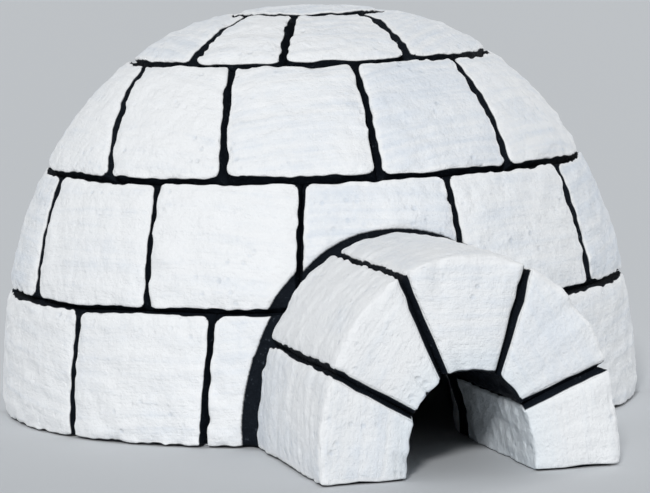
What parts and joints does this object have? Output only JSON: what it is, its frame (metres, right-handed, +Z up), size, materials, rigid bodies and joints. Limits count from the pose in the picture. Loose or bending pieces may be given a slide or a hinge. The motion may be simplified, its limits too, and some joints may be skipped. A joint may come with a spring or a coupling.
{
  "type": "block-built snow house with a vaulted crawl-in entrance",
  "caption": "Domed snow house of cut blocks in level courses, closed by a key block, with a low vaulted entrance to crawl in through.",
  "frame": {"origin": "middle of the footprint's bounding rectangle, on the ground", "axes": "+Z up, the entrance points along -Y, +X to the right of someone who faces the entrance"},
  "size_m": [4.0003, 5.2302, 2.49],
  "materials": {
    "dome_snow": "matt wind-packed snow, cut with a saw",
    "entrance_snow": "matt wind-packed snow, cut with a saw"
  },
  "bodies": {
    "root": {"course_1_block_01": "dome_snow", "course_1_block_02": "dome_snow", "course_1_block_03": "dome_snow", "course_1_block_04": "dome_snow", "course_1_block_05": "dome_snow", "course_1_block_06": "dome_snow", "course_1_block_07": "dome_snow", "course_1_block_08": "dome_snow", "course_2_block_01": "dome_snow", "course_2_block_02": "dome_snow", "course_2_block_03": "dome_snow", "course_2_block_04": "dome_snow", "course_2_block_05": "dome_snow", "course_2_block_06": "dome_snow", "course_2_block_07": "dome_snow", "course_2_block_08": "dome_snow", "course_2_block_09": "dome_snow", "course_2_block_10": "dome_snow", "course_2_block_11": "dome_snow", "course_3_block_01": "dome_snow", "course_3_block_02": "dome_snow", "course_3_block_03": "dome_snow", "course_3_block_04": "dome_snow", "course_3_block_05": "dome_snow", "course_3_block_06": "dome_snow", "course_3_block_07": "dome_snow", "course_3_block_08": "dome_snow", "course_3_block_09": "dome_snow", "course_3_block_10": "dome_snow", "course_4_block_01": "dome_snow", "course_4_block_02": "dome_snow", "course_4_block_03": "dome_snow", "course_4_block_04": "dome_snow", "course_4_block_05": "dome_snow", "course_4_block_06": "dome_snow", "course_4_block_07": "dome_snow", "door_jamb_left": "dome_snow", "door_jamb_right": "dome_snow", "door_lintel": "dome_snow", "entrance_crown": "entrance_snow", "entrance_foot_left": "entrance_snow", "entrance_foot_right": "entrance_snow", "entrance_haunch_left": "entrance_snow", "entrance_haunch_right": "entrance_snow", "key_block": "dome_snow"}
  },
  "joints": []
}
